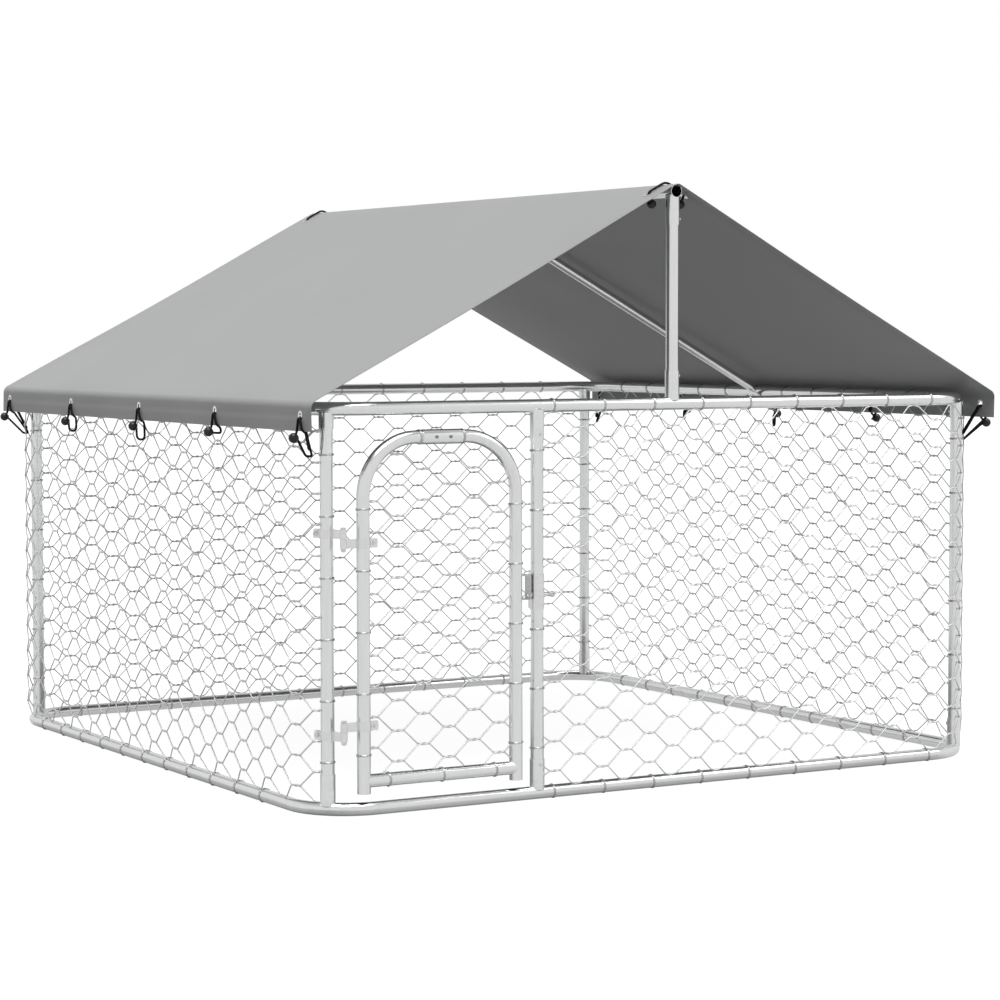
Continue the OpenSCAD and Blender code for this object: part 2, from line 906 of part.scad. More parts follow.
// At the ridge each cord runs over the top through both eyelets, with a ball under each slope
ridge_ball_down = ball_d;
ridge_normal = [sin(slope), cos(slope)];
ridge_down = [cos(slope), -sin(slope)];
ridge_cord_lift = ridge_wrap + tarp_t + eyelet_fit + eyelet_rim + net_gap + cord_d / 2;
ridge_over = ridge_down * ridge_eyelet_s + ridge_normal * ridge_cord_lift;
ridge_under = ridge_down * ridge_eyelet_s + ridge_normal * (ridge_wrap - ridge_ball_down);
ridge_top = [0, ridge_cord_lift / cos(slope)];

function mirrored(p) = [-p[0], p[1]];

module cords_ridge() {
    route = rounded_route(
        [mirrored(ridge_under), mirrored(ridge_over), ridge_top, ridge_over, ridge_under], cord_turn);
    color(black)
        for (side_y = [-1, 1])
            translate([0, side_y * eyelet_y, ridge_z])
                cord(route);
}

// A moulded ball with a blind hole of the given width along -X for the knotted cord
module ball(hole_d) {
    difference() {
        sphere(d = ball_d);
        translate([-ball_d, 0, 0])
            along_x()
                cylinder(d = hole_d, h = ball_d);
    }
}

module cord_balls() {
    color(black) {
        for (side_x = [-1, 1], i = [0 : eyelets - 1])
            scale_sides(side_x, 1)
                translate([ball_x, eyelet_place(i), ball_z])
                    ball(2 * cord_d + 6 * slip_gap);
        for (side_x = [-1, 1], side_y = [-1, 1])
            translate([0, side_y * eyelet_y, ridge_z])
                scale_sides(side_x, 1)
                    translate([ridge_under[0], 0, ridge_under[1]])
                        rotate([0, slope + 90, 0])
                            ball(cord_d + 2 * slip_gap);
    }
}

// A band clamp round a tube at the origin, with two ears along -X drawn together by a bolt
band_in = tube_r + slip_gap;
band_r = band_in + strap_t;
ear_tip = band_r + ear_l;
ear_bolt_x = band_r + ear_l * 0.62;

module band(height) {
    difference() {
        union() {
            cylinder(r = band_r, h = height);
            translate([-ear_tip, -ear_gap / 2 - strap_t, 0])
                cube([ear_tip, ear_gap + 2 * strap_t, height]);
        }
        translate([0, 0, -1])
            cylinder(r = band_in, h = height + 2);
        translate([-ear_tip - 1, -ear_gap / 2, -1])
            cube([ear_tip, ear_gap, height + 2]);
        translate([-ear_bolt_x, -band_r, height / 2])
            along_y()
                cylinder(d = bolt_d + 2 * screw_gap, h = 2 * band_r);
    }
}

// A bolt along +Y through the ears of a clamp, with a round head and a square nut
module ear_bolt(height) {
    half = ear_gap / 2 + strap_t + seat_gap / 2;
    head_h = bolt_d * 0.55;
    nut_h = bolt_d * 0.8;
    nut_w = bolt_d * 1.7;
    translate([-ear_bolt_x, 0, height / 2]) {
        translate([0, -half - head_h, 0])
            along_y()
                cylinder(d = bolt_d * 1.9, h = head_h);
        translate([0, -half - 0.5, 0])
            along_y()
                cylinder(d = bolt_d, h = 2 * half + nut_h + 2.5);
        difference() {
            translate([-nut_w / 2, half, -nut_w / 2])
                cube([nut_w, nut_h, nut_w]);
            translate([0, half - 1, 0])
                along_y()
                    cylinder(d = bolt_d - 0.5, h = nut_h + 2);
        }
    }
}

eye_in = pin_d / 2 + pin_gap;
eye_r = eye_in + eye_wall;

// A strap: the band, two legs that close on each other, and the eye at a distance reach along +X
module strap(reach) {
    difference() {
        union() {
            band(strap_h);
            translate([band_in + strap_t / 4, -strap_t, 0])
                cube([reach - band_in, 2 * strap_t, strap_h]);
            translate([reach, 0, 0])
                cylinder(r = eye_r, h = strap_h);
        }
        translate([reach, 0, -1])
            cylinder(r = eye_in, h = strap_h + 2);
    }
}

post_to_pivot = [pivot_x + post_x, pivot_y + post_y];
post_turn = atan2(post_to_pivot[1], post_to_pivot[0]);
post_reach = norm(post_to_pivot);
knuckle = knuckle_gap / 2;

// The post's strap is the upper knuckle of the upper hinge and the lower knuckle of the lower one
module on_hinge_post(z) {
    translate([-post_x, -post_y, z])
        rotate([0, 0, post_turn])
            children();
}

module on_hinge_stile(z) {
    translate([stile_left_x, front_y, z])
        rotate([0, 0, 180])
            children();
}

module post_strap_upper() {
    color(steel_bright)
        on_hinge_post(upper_z + knuckle)
            strap(post_reach);
}

module post_strap_lower() {
    color(steel_bright)
        on_hinge_post(lower_z - knuckle - strap_h)
            strap(post_reach);
}

module post_strap_bolts() {
    color(steel_bright)
        for (z = [upper_z + knuckle, lower_z - knuckle - strap_h])
            on_hinge_post(z)
                ear_bolt(strap_h);
}

// The door's straps with their ear bolts
module door_straps() {
    color(steel_bright)
        for (z = [upper_z - knuckle - strap_h, lower_z + knuckle])
            on_hinge_stile(z) {
                strap(pivot_gap);
                ear_bolt(strap_h);
            }
}

// A hinge pin is a bolt through both eyes, its head and nut just clear of them
pin_head_h = 5;
pin_nut_h = 6;
pin_clear = 0.3;

module hinge_pins() {
    color(steel_bright)
        for (z = [upper_z, lower_z])
            translate([pivot_x, pivot_y, z]) {
                half = knuckle + strap_h + pin_clear;
                translate([0, 0, half])
                    cylinder(d = pin_d * 1.6, h = pin_head_h);
                translate([0, 0, -half - pin_nut_h - 2])
                    cylinder(d = pin_d, h = 2 * half + pin_nut_h + 3);
                translate([0, 0, -half - pin_nut_h])
                    cylinder(d = pin_d * 1.8, h = pin_nut_h, $fn = 6);
            }
}

// Latch collar round the jamb post, bored across for the sliding bolt, ears to the back
collar_h = collar_up + collar_down;

module latch_collar() {
    color(steel_bright)
        translate([jamb_x, front_y, bolt_z - collar_down])
            difference() {
                rotate([0, 0, -90])
                    band(collar_h);
                translate([-tube_d, 0, collar_down])
                    along_x()
                        cylinder(d = latch_rod_d + 2 * latch_gap, h = 2 * tube_d);
            }
}

module latch_collar_bolt() {
    color(steel_bright)
        translate([jamb_x, front_y, bolt_z - collar_down])
            rotate([0, 0, -90])
                ear_bolt(collar_h);
}

// The bolt rod reaches from just short of the strike, through the jamb, to its knob
nose_clear = 1.5;
knob_clear = 1;
nose_x = stile_right_x + tube_r + strike_reach + nose_clear;
knob_x = jamb_x + band_r + latch_travel + knob_clear;
knob_neck_d = knob_d * 0.8;

module latch_bolt() {
    nose_l = latch_rod_d / 3;
    color(steel_bright)
        translate([0, front_y, bolt_z]) {
            translate([nose_x + nose_l, 0, 0])
                along_x()
                    cylinder(d = latch_rod_d, h = knob_x - nose_x - nose_l + 1);
            translate([nose_x, 0, 0])
                along_x()
                    cylinder(d1 = latch_rod_d - 3, d2 = latch_rod_d, h = nose_l);
            translate([knob_x, 0, 0])
                along_x()
                    cylinder(d = knob_neck_d, h = knob_d / 2);
            translate([knob_x + knob_d * 0.7, 0, 0])
                sphere(d = knob_d);
        }
}

// The strike is a bent U of plate welded to the right stile; the bolt enters its outer face
module latch_strike() {
    low = bolt_z - latch_rod_d;
    high = bolt_z + collar_up;
    outer = strike_reach + tube_r;
    color(steel_bright)
        translate([stile_right_x, front_y, 0])
            difference() {
                translate([0, -strike_w / 2, low])
                    cube([outer, strike_w, high - low]);
                translate([-1, -strike_w / 2 - 1, low + strike_t])
                    cube([outer + 1 - strike_t, strike_w + 2, high - low - 2 * strike_t]);
                translate([0, 0, low - 1])
                    cylinder(r = tube_r + slip_gap, h = high - low + 2);
                translate([0, 0, bolt_z])
                    along_x()
                        cylinder(d = latch_rod_d + 2 * strike_clear, h = outer + 1);
                translate([tube_r + strike_reach / 2 - strike_t / 2, 0, high - strike_t - 1])
                    cylinder(d = padlock_d, h = strike_t + 2);
            }
}

// One half of the arched door frame, in the frame of the left stile: X towards the door's middle
arch_join_gap = 0.5;

module door_half() {
    top_run = door_w / 2 - arch_r - arch_join_gap;
    bend_z = arch_z - arch_r;
    difference() {
        union() {
            translate([0, 0, stile_end_z])
                cylinder(r = tube_r, h = bend_z - stile_end_z);
            translate([arch_r, 0, bend_z])
                rotate([90, 0, 180])
                    rotate_extrude(angle = 90)
                        translate([arch_r, 0])
                            circle(r = tube_r);
            translate([arch_r, 0, arch_z])
                along_x()
                    cylinder(r = tube_r, h = top_run);
        }
        translate([0, 0, stile_end_z - 1])
            cylinder(r = bore_r, h = bend_z - stile_end_z + 1);
        translate([arch_r, 0, bend_z])
            rotate([90, 0, 180])
                rotate_extrude(angle = 90)
                    translate([arch_r, 0])
                        circle(r = bore_r);
        translate([arch_r, 0, arch_z])
            along_x()
                cylinder(r = bore_r, h = top_run + 1);
        translate([door_w / 2 - rivet_pitch / 2, -tube_d, arch_z])
            along_y()
                cylinder(d = rivet_d + 2 * screw_gap, h = tube_d);
    }
}

module door_arch_left() {
    color(steel_bright)
        translate([stile_left_x, front_y, 0])
            door_half();
}

module door_arch_right() {
    color(steel_bright)
        translate([stile_right_x, front_y, 0])
            mirror([1, 0, 0])
                door_half();
}

module door_splice() {
    color(steel_bright)
        translate([door_mid_x, front_y, arch_z])
            difference() {
                translate([-splice_l / 2, 0, 0])
                    along_x()
                        tube(band_r, band_in, splice_l);
                for (side = [-1, 1])
                    translate([side * rivet_pitch / 2, -tube_d, 0])
                        along_y()
                            cylinder(d = rivet_d + 2 * screw_gap, h = tube_d);
            }
}

module door_rivets() {
    color(steel)
        for (side = [-1, 1])
            translate([door_mid_x + side * rivet_pitch / 2, front_y - band_r - seat_gap / 2, arch_z]) {
                translate([0, -rivet_head_t / 2, 0])
                    along_y()
                        cylinder(d = rivet_d, h = rivet_head_t / 2 + strap_t + slip_gap + tube_wall + 1);
                rotate([90, 0, 0])
                    cylinder(d = rivet_d * 2, h = rivet_head_t);
            }
}

module door_bottom_rail() {
    color(steel_bright)
        difference() {
            translate([stile_left_x, front_y, door_rail_z])
                along_x()
                    tube(tube_r, bore_r, door_w);
            for (x = [stile_left_x, stile_right_x])
                translate([x, front_y, 0])
                    cylinder(r = tube_r + slip_gap, h = arch_z);
        }
}

// Door netting in the plane of the door's tubes, its outline a step inside them
module door_net() {
    width = door_w - 2 * net_in;
    height = arch_z - door_rail_z - 2 * net_in;
    corner_r = arch_r - net_in;
    strand = net_strand;
    color(wire)
        translate([stile_left_x + net_in, front_y + net_t / 2, door_rail_z + net_in])
            rotate([90, 0, 0])
                linear_extrude(net_t)
                    difference() {
                        arched(width, height, corner_r);
                        intersection() {
                            translate([strand, strand])
                                arched(width - 2 * strand, height - 2 * strand, corner_r - strand);
                            net_gaps(width, height);
                        }
                        for (z = [upper_z - knuckle - strap_h, lower_z + knuckle])
                            translate([ear_bolt_x - net_in, z + strap_h / 2 - door_rail_z - net_in])
                                circle(d = bolt_d + 2 * net_gap);
                    }
}

// A rectangle whose two upper corners are round
module arched(width, height, corner_r) {
    square([width, height - corner_r]);
    translate([corner_r, 0])
        square([width - 2 * corner_r, height]);
    for (x = [corner_r, width - corner_r])
        translate([x, height - corner_r])
            circle(r = corner_r);
}

module net_gaps(width, height) {
    columns = ceil((width - net_strand) / net_column);
    rows = ceil((height - net_strand) / net_row);
    column = (width - 2 * net_strand) / columns;
    row = (height - 2 * net_strand) / rows;
    for (i = [0 : columns], j = [0 : rows])
        translate([net_strand + i * column, net_strand + (j + (i % 2) / 2) * row])
            hexagon_gap(column, row);
}

module ties_up(z0, z1) {
    for (z = tie_places(z1 - z0 - 2 * tie_w))
        translate([0, 0, (z0 + z1) / 2 + z])
            tie();
}

// Door ties on both stiles, the bottom rail and either end of the splice
module door_ties() {
    color(wire)
        difference() {
            union() {
                for (x = [stile_left_x, stile_right_x])
                    translate([x, front_y, 0])
                        ties_up(door_rail_z + tube_d, arch_z - arch_r);
                translate([0, front_y, door_rail_z])
                    ties_along_x(stile_left_x + tube_d, stile_right_x - tube_d);
                for (side = [-1, 1])
                    translate([door_mid_x + side * (splice_l / 2 + tie_w) - tie_w / 2, front_y, arch_z])
                        along_x()
                            tie();
            }
            for (z = [upper_z - knuckle - strap_h, lower_z + knuckle])
                on_hinge_stile(z - tie_w)
                    cylinder(r = tie_r + 1, h = strap_h + 2 * tie_w);
            translate([stile_right_x, front_y, bolt_z - latch_rod_d - tie_w])
                cylinder(r = tie_r + 1, h = collar_up + latch_rod_d + 2 * tie_w);
        }
}

base_corner(-1, -1);  // base_corner_front_left
base_corner(1, -1);  // base_corner_front_right
base_corner(-1, 1);  // base_corner_back_left
base_corner(1, 1);  // base_corner_back_right
base_rail_front();
base_rail_back();
rail_y(-1, base_z, false);  // base_rail_left
rail_y(1, base_z, false);  // base_rail_right
corner_post(-1, -1);  // corner_post_front_left
corner_post(1, -1);  // corner_post_front_right
corner_post(-1, 1);  // corner_post_back_left
corner_post(1, 1);  // corner_post_back_right
jamb_post();
top_corner(-1, -1);  // top_corner_front_left
top_corner(1, -1);  // top_corner_front_right
top_corner(-1, 1);  // top_corner_back_left
top_corner(1, 1);  // top_corner_back_right
top_rail_front();
top_rail_back();
rail_y(-1, top_z, true);  // top_rail_left
rail_y(1, top_z, true);  // top_rail_right
ridge_post(-1);  // ridge_post_front
ridge_post(1);  // ridge_post_back
ridge_pole();
rafter(-1);  // rafter_left
rafter(1);  // rafter_right
frame_screws();
net_side(-1);  // net_left
net_side(1);  // net_right
net_back();
net_front();
net_bend(-1, -1, hinge_post_sweep);  // net_bend_front_left
net_bend(1, -1, 90);  // net_bend_front_right
net_bend(-1, 1, 90);  // net_bend_back_left
net_bend(1, 1, 90);  // net_bend_back_right
wall_ties();
tarpaulin();
eyelets_side(-1);  // eyelets_left
eyelets_side(1);  // eyelets_right
eyelets_ridge();
cords_side(-1);  // cords_left
cords_side(1);  // cords_right
cords_ridge();
cord_balls();
post_strap_upper();
post_strap_lower();
post_strap_bolts();
hinge_pins();
latch_collar();
latch_collar_bolt();
door_arch_left();
door_arch_right();
door_splice();
door_rivets();
door_bottom_rail();
door_net();
door_ties();
door_straps();
latch_strike();
latch_bolt();
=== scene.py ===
import bpy
import math
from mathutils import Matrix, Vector


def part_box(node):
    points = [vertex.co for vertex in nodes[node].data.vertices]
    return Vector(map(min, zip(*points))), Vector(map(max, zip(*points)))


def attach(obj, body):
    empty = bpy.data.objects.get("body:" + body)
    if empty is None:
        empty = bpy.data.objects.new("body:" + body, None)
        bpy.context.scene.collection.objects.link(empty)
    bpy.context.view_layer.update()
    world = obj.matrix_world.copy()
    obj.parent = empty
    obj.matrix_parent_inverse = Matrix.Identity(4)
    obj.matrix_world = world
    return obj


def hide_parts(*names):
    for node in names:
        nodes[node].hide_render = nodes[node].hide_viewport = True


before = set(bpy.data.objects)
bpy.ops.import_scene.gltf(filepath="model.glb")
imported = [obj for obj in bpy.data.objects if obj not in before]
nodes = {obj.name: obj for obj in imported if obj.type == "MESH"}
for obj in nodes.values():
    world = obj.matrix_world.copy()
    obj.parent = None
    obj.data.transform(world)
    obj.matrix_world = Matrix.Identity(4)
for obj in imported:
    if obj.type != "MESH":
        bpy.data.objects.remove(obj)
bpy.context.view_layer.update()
bpy.ops.object.select_all(action="DESELECT")

# The view.
# A long lens in front of the run and to its left, a little above the top ring, so that the front
# and the left wall both show and the far walls look almost as tall as the near ones.
bpy.ops.object.camera_add(
    location=(-3.9015, -6.8440, 1.1429),
    rotation=(math.radians(86.546), math.radians(0.069), math.radians(-30.169)),
)
camera = bpy.context.object
camera.data.lens = 101.57
camera.data.sensor_width = 36
camera.data.clip_end = 60
bpy.context.scene.camera = camera


# The tube frame.
# Steel tube, hot-dip galvanised: a base ring, a top ring, posts, a ridge pole and two rafters, pushed
# into sockets and screwed. The zinc has drawn streaks along each tube, a faint spangle and dull patches.
def add_node(tree, kind, **values):
    made = tree.nodes.new(kind)
    for key, value in values.items():
        setattr(made, key, value)
    return made


def make_zinc_skin():
    group = bpy.data.node_groups.new("zinc_skin", "ShaderNodeTree")
    face = group.interface
    face.new_socket("Vector", in_out="INPUT", socket_type="NodeSocketVector")
    face.new_socket("Dull", in_out="INPUT", socket_type="NodeSocketFloat").default_value = 0.1
    face.new_socket("Pale", in_out="INPUT", socket_type="NodeSocketColor")
    face.new_socket("Dark", in_out="INPUT", socket_type="NodeSocketColor")
    face.new_socket("Color", in_out="OUTPUT", socket_type="NodeSocketColor")
    face.new_socket("Roughness", in_out="OUTPUT", socket_type="NodeSocketFloat")
    face.new_socket("Height", in_out="OUTPUT", socket_type="NodeSocketFloat")
    into = add_node(group, "NodeGroupInput")
    out = add_node(group, "NodeGroupOutput")
    streak = add_node(group, "ShaderNodeTexNoise")
    streak.inputs["Scale"].default_value = 1.0
    streak.inputs["Detail"].default_value = 5
    spangle = add_node(group, "ShaderNodeTexVoronoi")
    spangle.inputs["Scale"].default_value = 0.55
    mix = add_node(group, "ShaderNodeMath", operation="MULTIPLY_ADD")
    mix.inputs[1].default_value = 0.35
    tone = add_node(group, "ShaderNodeMix", data_type="RGBA")
    rough = add_node(group, "ShaderNodeMath", operation="MULTIPLY_ADD")
    rough.inputs[2].default_value = 0.11
    link = group.links.new
    link(into.outputs["Vector"], streak.inputs["Vector"])
    link(into.outputs["Vector"], spangle.inputs["Vector"])
    link(spangle.outputs["Color"], mix.inputs[0])
    link(streak.outputs["Fac"], mix.inputs[2])
    link(mix.outputs[0], tone.inputs["Factor"])
    link(into.outputs["Dark"], tone.inputs[6])
    link(into.outputs["Pale"], tone.inputs[7])
    link(tone.outputs[2], out.inputs["Color"])
    link(mix.outputs[0], rough.inputs[0])
    link(into.outputs["Dull"], rough.inputs[1])
    link(rough.outputs[0], out.inputs["Roughness"])
    link(mix.outputs[0], out.inputs["Height"])
    return group


zinc_skin = make_zinc_skin()


def new_material(name):
    material = bpy.data.materials.new(name)
    material.use_nodes = True
    tree = material.node_tree
    return material, tree, tree.nodes["Principled BSDF"], tree.links.new


def zinc_metal(name, scale, pale, dark, dull, bump):
    material, tree, shader, link = new_material(name)
    shader.inputs["Metallic"].default_value = 1.0
    place = add_node(tree, "ShaderNodeTexCoord")
    size = add_node(tree, "ShaderNodeMapping")
    size.inputs["Scale"].default_value = scale
    skin = add_node(tree, "ShaderNodeGroup", node_tree=zinc_skin)
    skin.inputs["Pale"].default_value = (*pale, 1)
    skin.inputs["Dark"].default_value = (*dark, 1)
    skin.inputs["Dull"].default_value = dull
    lift = add_node(tree, "ShaderNodeBump")
    lift.inputs["Strength"].default_value = bump
    lift.inputs["Distance"].default_value = 0.0004
    link(place.outputs["Object"], size.inputs["Vector"])
    link(size.outputs["Vector"], skin.inputs["Vector"])
    link(skin.outputs["Color"], shader.inputs["Base Color"])
    link(skin.outputs["Roughness"], shader.inputs["Roughness"])
    link(skin.outputs["Height"], lift.inputs["Height"])
    link(lift.outputs["Normal"], shader.inputs["Normal"])
    return material


def dress(material, *names):
    for name in names:
        nodes[name].data.materials.clear()
        nodes[name].data.materials.append(material)


tube_pale, tube_dark = (0.88, 0.885, 0.89), (0.77, 0.775, 0.785)
tube_along_x = zinc_metal("zinc_tube_along_x", (9, 160, 160), tube_pale, tube_dark, 0.12, 0.14)
tube_along_y = zinc_metal("zinc_tube_along_y", (160, 9, 160), tube_pale, tube_dark, 0.12, 0.14)
tube_upright = zinc_metal("zinc_tube_upright", (160, 160, 9), tube_pale, tube_dark, 0.12, 0.14)
tube_bent = zinc_metal("zinc_tube_bent", (110, 110, 110), tube_pale, tube_dark, 0.12, 0.14)
corner_names = ("front_left", "front_right", "back_left", "back_right")
dress(tube_along_x, "base_rail_front", "base_rail_back", "top_rail_front", "top_rail_back")
dress(tube_along_y, "base_rail_left", "base_rail_right", "top_rail_left", "top_rail_right", "ridge_pole")
dress(tube_upright, "jamb_post", "ridge_post_front", "ridge_post_back")
dress(tube_upright, *["corner_post_" + c for c in corner_names])
dress(tube_bent, *["base_corner_" + c for c in corner_names])
dress(tube_bent, *["top_corner_" + c for c in corner_names])
dress(tube_along_x, "rafter_left", "rafter_right")

# The screws of the frame.
# Zinc-plated self-tapping screws with flat round heads, one in each socket and rafter end.
plated = zinc_metal("plated_fastener", (300, 300, 300), (0.8, 0.8, 0.8), (0.55, 0.55, 0.56), 0.2, 0.2)
dress(plated, "frame_screws")

# The door's tubes.
# Two bent halves of the same galvanised tube make the arch; a sleeve with two dull rivets joins them at
# the top, and a straight rail is let in between the stiles near the bottom.
rivet_metal = zinc_metal("rivet", (300, 300, 300), (0.3, 0.3, 0.3), (0.2, 0.2, 0.2), 0.3, 0.2)
dress(tube_upright, "door_arch_left", "door_arch_right")
dress(tube_along_x, "door_splice", "door_bottom_rail")
dress(rivet_metal, "door_rivets")

# Hinges and latch.
# Zinc-plated strip bent round the post and the stile and bolted at the ears, on two loose pins; the latch
# is a round bolt with a knob, sliding through a collar on the jamb into a bent strike on the stile.
strip = zinc_metal("plated_strip", (60, 60, 220), (0.86, 0.86, 0.87), (0.72, 0.72, 0.73), 0.16, 0.3)
# The strike is the same plated strip in a darker grey: painted shade that stands in for the dark reflections
# on its bars.
strip_painted_shade = zinc_metal("strip_painted_shade", (60, 60, 220), (0.62, 0.62, 0.62), (0.36, 0.36, 0.36), 0.16, 0.3)
dress(strip, "post_strap_upper", "post_strap_lower", "door_straps", "latch_collar")
dress(strip_painted_shade, "latch_strike")
dress(plated, "post_strap_bolts", "hinge_pins", "latch_collar_bolt", "latch_bolt")

# The netting round the run.
# One roll of hexagonal galvanised netting. Its wires run level along the roll and are twisted together in
# pairs; it is wrapped round the outside of the frame from the hinge post to the door jamb.
half, bend_r, jamb_x = 0.984, 0.150, -0.392
net_out, net_low, net_high, net_rows = 0.0193, 0.0325, 0.9425, 12.5
column_step, twist_l, wire_r = 0.069, 0.034, 0.0019
rail_turn, rail_seat, end_turn, end_seat = 0.020, 0.009, 0.015, 0.011
jamb_lap, hinge_turn = 0.012, math.radians(40)
row_step = (net_high - net_low) / net_rows
straight = half - bend_r
quarter = (bend_r + net_out) * math.pi / 2
hinge_arc = (bend_r + net_out) * hinge_turn
front_run = straight - jamb_x - jamb_lap
roll = [hinge_arc, 2 * straight, quarter, 2 * straight, quarter, 2 * straight, quarter, front_run]
roll_l = sum(roll)


def wire_points(k, first, last, lowest):
    points = []
    for i in range(first, last + 1):
        upper = (i - k) % 2 == 0
        level = lowest + (k / 2 if upper else (k + 1) / 2) * row_step
        side = wire_r * (1 if upper else -1)
        for a in range(0, 361, 60):
            along = (i * column_step - twist_l / 2) + twist_l * a / 360
            turn = math.radians(a)
            points.append((along, side * math.sin(turn), level + side * math.cos(turn)))
    return points


def on_roll(s, out, z):
    near_end = min(s, roll_l - s)
    near_rail = min(z - net_low, net_high - z)
    r = net_out + out
    if near_rail < rail_turn:
        r -= (net_out - rail_seat) * (1 - max(near_rail, 0) / rail_turn) ** 2
    if near_end < end_turn:
        r -= (net_out - end_seat) * (1 - max(near_end, 0) / end_turn) ** 2
    part = 0
    while part < 7 and s > roll[part]:
        s -= roll[part]
        part += 1
    if part == 0:
        turn = math.pi + (hinge_arc - s) / (bend_r + net_out)
        centre = (-straight, -straight)
    elif part in (2, 4, 6):
        turn = {2: math.pi, 4: math.pi / 2, 6: 0.0}[part] - s / (bend_r + net_out)
        centre = {2: (-straight, straight), 4: (straight, straight), 6: (straight, -straight)}[part]
    if part % 2 == 0:
        return (centre[0] + (bend_r + r) * math.cos(turn), centre[1] + (bend_r + r) * math.sin(turn), z)
    if part == 1:
        return (-half - r, -straight + s, z)
    if part == 3:
        return (-straight + s, half + r, z)
    if part == 5:
        return (half + r, straight - s, z)
    return (straight - s, -half - r, z)


def between(points, low, high):
    kept = []
    for a, b in zip(points, points[1:]):
        for limit in (low, high):
            if a[0] < limit < b[0]:
                kept.append(tuple(Vector(a).lerp(Vector(b), (limit - a[0]) / (b[0] - a[0]))))
        if low <= b[0] <= high:
            kept.append(b)
    return kept


def wires_to_mesh(name, wires, radius, sides):
    line = bpy.data.curves.new(name, "CURVE")
    line.dimensions = "3D"
    line.bevel_depth = radius
    line.bevel_resolution = (sides - 4) // 2
    line.use_fill_caps = True
    for points in wires:
        spline = line.splines.new("POLY")
        spline.points.add(len(points) - 1)
        for place, point in zip(spline.points, points):
            place.co = (*point, 1)
    made = bpy.data.objects.new(name, line)
    bpy.context.collection.objects.link(made)
    bpy.ops.object.select_all(action="DESELECT")
    made.select_set(True)
    bpy.context.view_layer.objects.active = made
    bpy.ops.object.convert(target="MESH")
    bpy.ops.object.shade_smooth()
    return bpy.context.object


net_zinc = zinc_metal("net_wire", (240, 240, 240), (0.79, 0.795, 0.80), (0.68, 0.68, 0.685), 0.6, 0.2)
wires = []
for k in range(int(2 * net_rows)):
    flat = wire_points(k, -1, int(roll_l / column_step) + 2, net_low)
    wires.append([on_roll(*point) for point in between(flat, 0, roll_l)])
netting = wires_to_mesh("netting", wires, wire_r, 4)
netting.data.materials.append(net_zinc)
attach(netting, "frame")
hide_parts("net_left", "net_right", "net_back", "net_front",
            *["net_bend_" + c for c in corner_names])

# The door's netting.
# A piece of the same netting, cut to the shape of the arch; its wires end at the inside of the door's tubes
# and are held there by the ties.
hinge_stile_x, latch_stile_x, door_y = -0.867, -0.452, -half
door_rail_z, arch_z, arch_bend, tube_d = 0.082, 0.890, 0.140, 0.032
net_gap, door_net_shift, door_net_drop, door_wires = tube_d / 2 + 0.0005, 0.006, 0.012, 23
net_left, net_right = hinge_stile_x + net_gap, latch_stile_x - net_gap
net_base, net_top, arch_r = door_rail_z + net_gap, arch_z - net_gap, arch_bend - net_gap


def in_arch(x, z):
    if not (net_left <= x <= net_right and net_base <= z <= net_top):
        return False
    dx = max(net_left + arch_r - x, x - (net_right - arch_r), 0)
    dz = max(z - (net_top - arch_r), 0)
    return dx * dx + dz * dz <= arch_r * arch_r


def arch_edge(inside, outside):
    for halving in range(12):
        middle = inside.lerp(outside, 0.5)
        if in_arch(middle.x, middle.z):
            inside = middle
        else:
            outside = middle
    return inside


wires = []
for k in range(door_wires):
    columns = int((net_right - net_left) / column_step) + 2
    flat = [Vector((net_left + door_net_shift + x, door_y + y, z))
            for x, y, z in wire_points(k, -1, columns, net_base - door_net_drop)]
    run = []
    for a, b in zip(flat, flat[1:]):
        a_in, b_in = in_arch(a.x, a.z), in_arch(b.x, b.z)
        if b_in and not a_in:
            run = [arch_edge(b, a)]
        if b_in:
            run.append(b)
        if a_in and not b_in:
            wires.append(run + [arch_edge(a, b)])
            run = []
wires = [run for run in wires if len(run) > 1]
door_netting = wires_to_mesh("door_netting", wires, wire_r, 4)
door_netting.data.materials.append(net_zinc)
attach(door_netting, "door")
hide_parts("door_net")

# The ties.
# Short lengths of zinc-coated wire, wound twice, turn beside turn, round the tube and the edge of the
# netting, at an even pitch along every tube that carries netting.
tie_wire_r, tie_coil_r, tie_pitch, tie_w = 0.0013, 0.0174, 0.145, 0.0024


def tie_places(low, high):
    count = math.floor((high - low - 2 * tie_w) / tie_pitch + 1e-9)
    return [(low + high) / 2 + (i - count / 2) * tie_pitch for i in range(count + 1)]


def tie_coil(place, axis):
    turns, steps = 2, 12
    points = []
    for i in range(turns * steps + 1):
        a = 2 * math.pi * i / steps
        u, v = tie_coil_r * math.cos(a), tie_coil_r * math.sin(a)
        w = tie_w / 2 + 2 * tie_wire_r * (i / steps - turns / 2)
        points.append({"x": (place[0] + w, place[1] + u, place[2] + v),
                       "y": (place[0] + u, place[1] + w, place[2] + v),
                       "z": (place[0] + u, place[1] + v, place[2] + w)}[axis])
    return points


base_z, top_z, post = 0.016, 0.959, 0.94007
socket_r, rail_end = 0.018, straight - 0.0002
post_low, post_high, latch_low, latch_high = 0.099, 0.876, 0.455, 0.560
end_tie, side_tie = rail_end - tie_w, rail_end - tie_pitch / 2
coils = []
for z in (base_z, top_z):
    coils += [tie_coil((x, -half, z), "x") for x in tie_places(jamb_x + socket_r, end_tie)]
    coils += [tie_coil((x, half, z), "x") for x in tie_places(-end_tie, end_tie)]
    for x in (-half, half):
        coils += [tie_coil((x, y + tie_pitch / 4, z), "y") for y in tie_places(-side_tie, side_tie)]
for x, y in ((-post, -post), (post, -post), (-post, post), (post, post), (jamb_x, -half)):
    coils += [tie_coil((x, y, z), "z") for z in tie_places(post_low, post_high)
              if not (x == jamb_x and latch_low < z < latch_high)]
ties = wires_to_mesh("ties", coils, tie_wire_r, 6)
